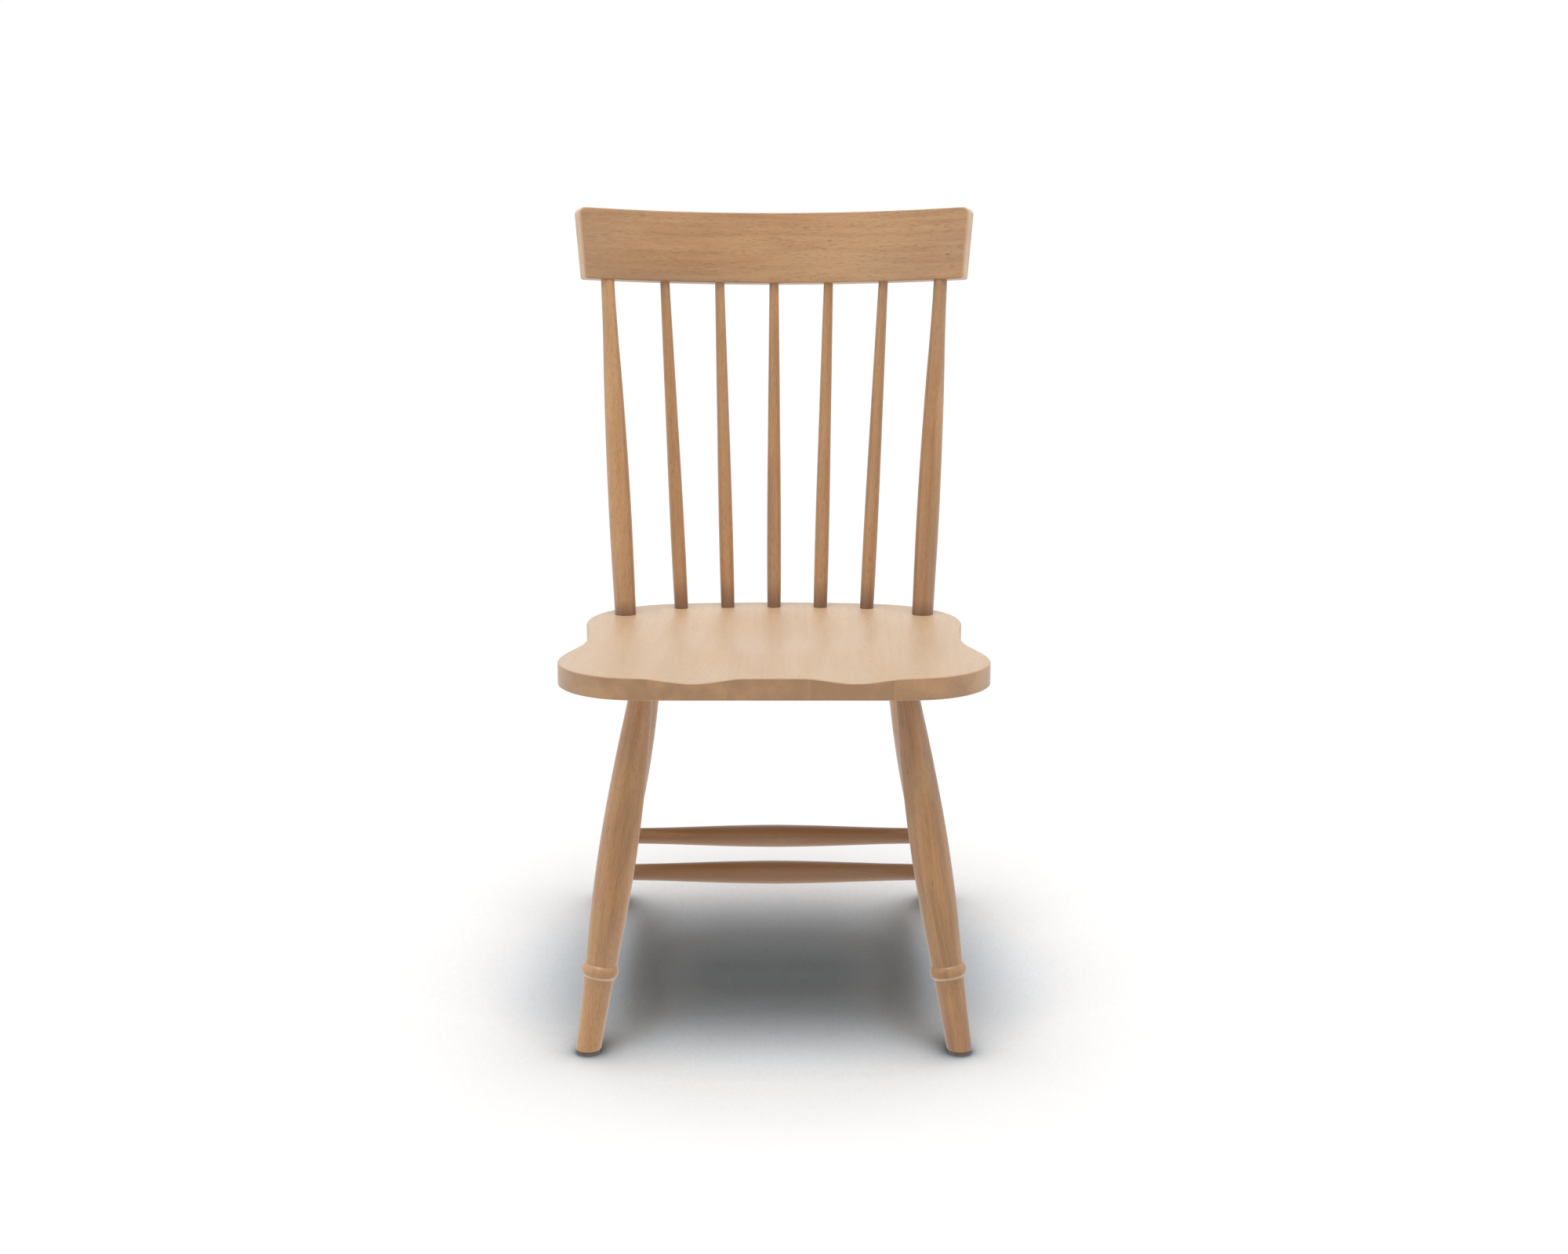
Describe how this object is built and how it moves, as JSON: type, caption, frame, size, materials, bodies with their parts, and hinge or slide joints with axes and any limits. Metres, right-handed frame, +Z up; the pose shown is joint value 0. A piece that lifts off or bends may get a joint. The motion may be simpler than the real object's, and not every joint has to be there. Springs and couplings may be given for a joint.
{
  "type": "windsor chair",
  "caption": "Wooden Windsor side chair with a saddled seat, turned spindles under a bent comb rail, raked turned legs and a double-bar H stretcher.",
  "frame": {"origin": "on the floor, under the centre of the chair's bounding box", "axes": "+Z up, -Y to the chair's front, +X to the right as someone facing the chair sees it"},
  "size_m": [0.494, 0.587, 0.9371],
  "materials": {
    "seat_wood": "satin lacquered hardwood, edge-glued boards",
    "comb_wood": "satin lacquered hardwood, grain along the rail",
    "turned_wood": "satin lacquered turned hardwood, grain along each piece",
    "glide_plastic": "moulded, matte",
    "nail_steel": "bright drawn steel"
  },
  "bodies": {
    "root": {"seat": "seat_wood", "comb_rail": "comb_wood", "back_post_left": "turned_wood", "back_post_right": "turned_wood", "outer_spindle_left": "turned_wood", "outer_spindle_right": "turned_wood", "inner_spindle_left": "turned_wood", "inner_spindle_right": "turned_wood", "centre_spindle": "turned_wood", "front_leg_left": "turned_wood", "front_leg_right": "turned_wood", "rear_leg_left": "turned_wood", "rear_leg_right": "turned_wood", "side_stretcher_left": "turned_wood", "side_stretcher_right": "turned_wood", "cross_stretcher_front": "turned_wood", "cross_stretcher_rear": "turned_wood", "front_glide_left": "glide_plastic", "front_glide_right": "glide_plastic", "rear_glide_left": "glide_plastic", "rear_glide_right": "glide_plastic", "front_glide_nail_left": "nail_steel", "front_glide_nail_right": "nail_steel", "rear_glide_nail_left": "nail_steel", "rear_glide_nail_right": "nail_steel"}
  },
  "joints": []
}
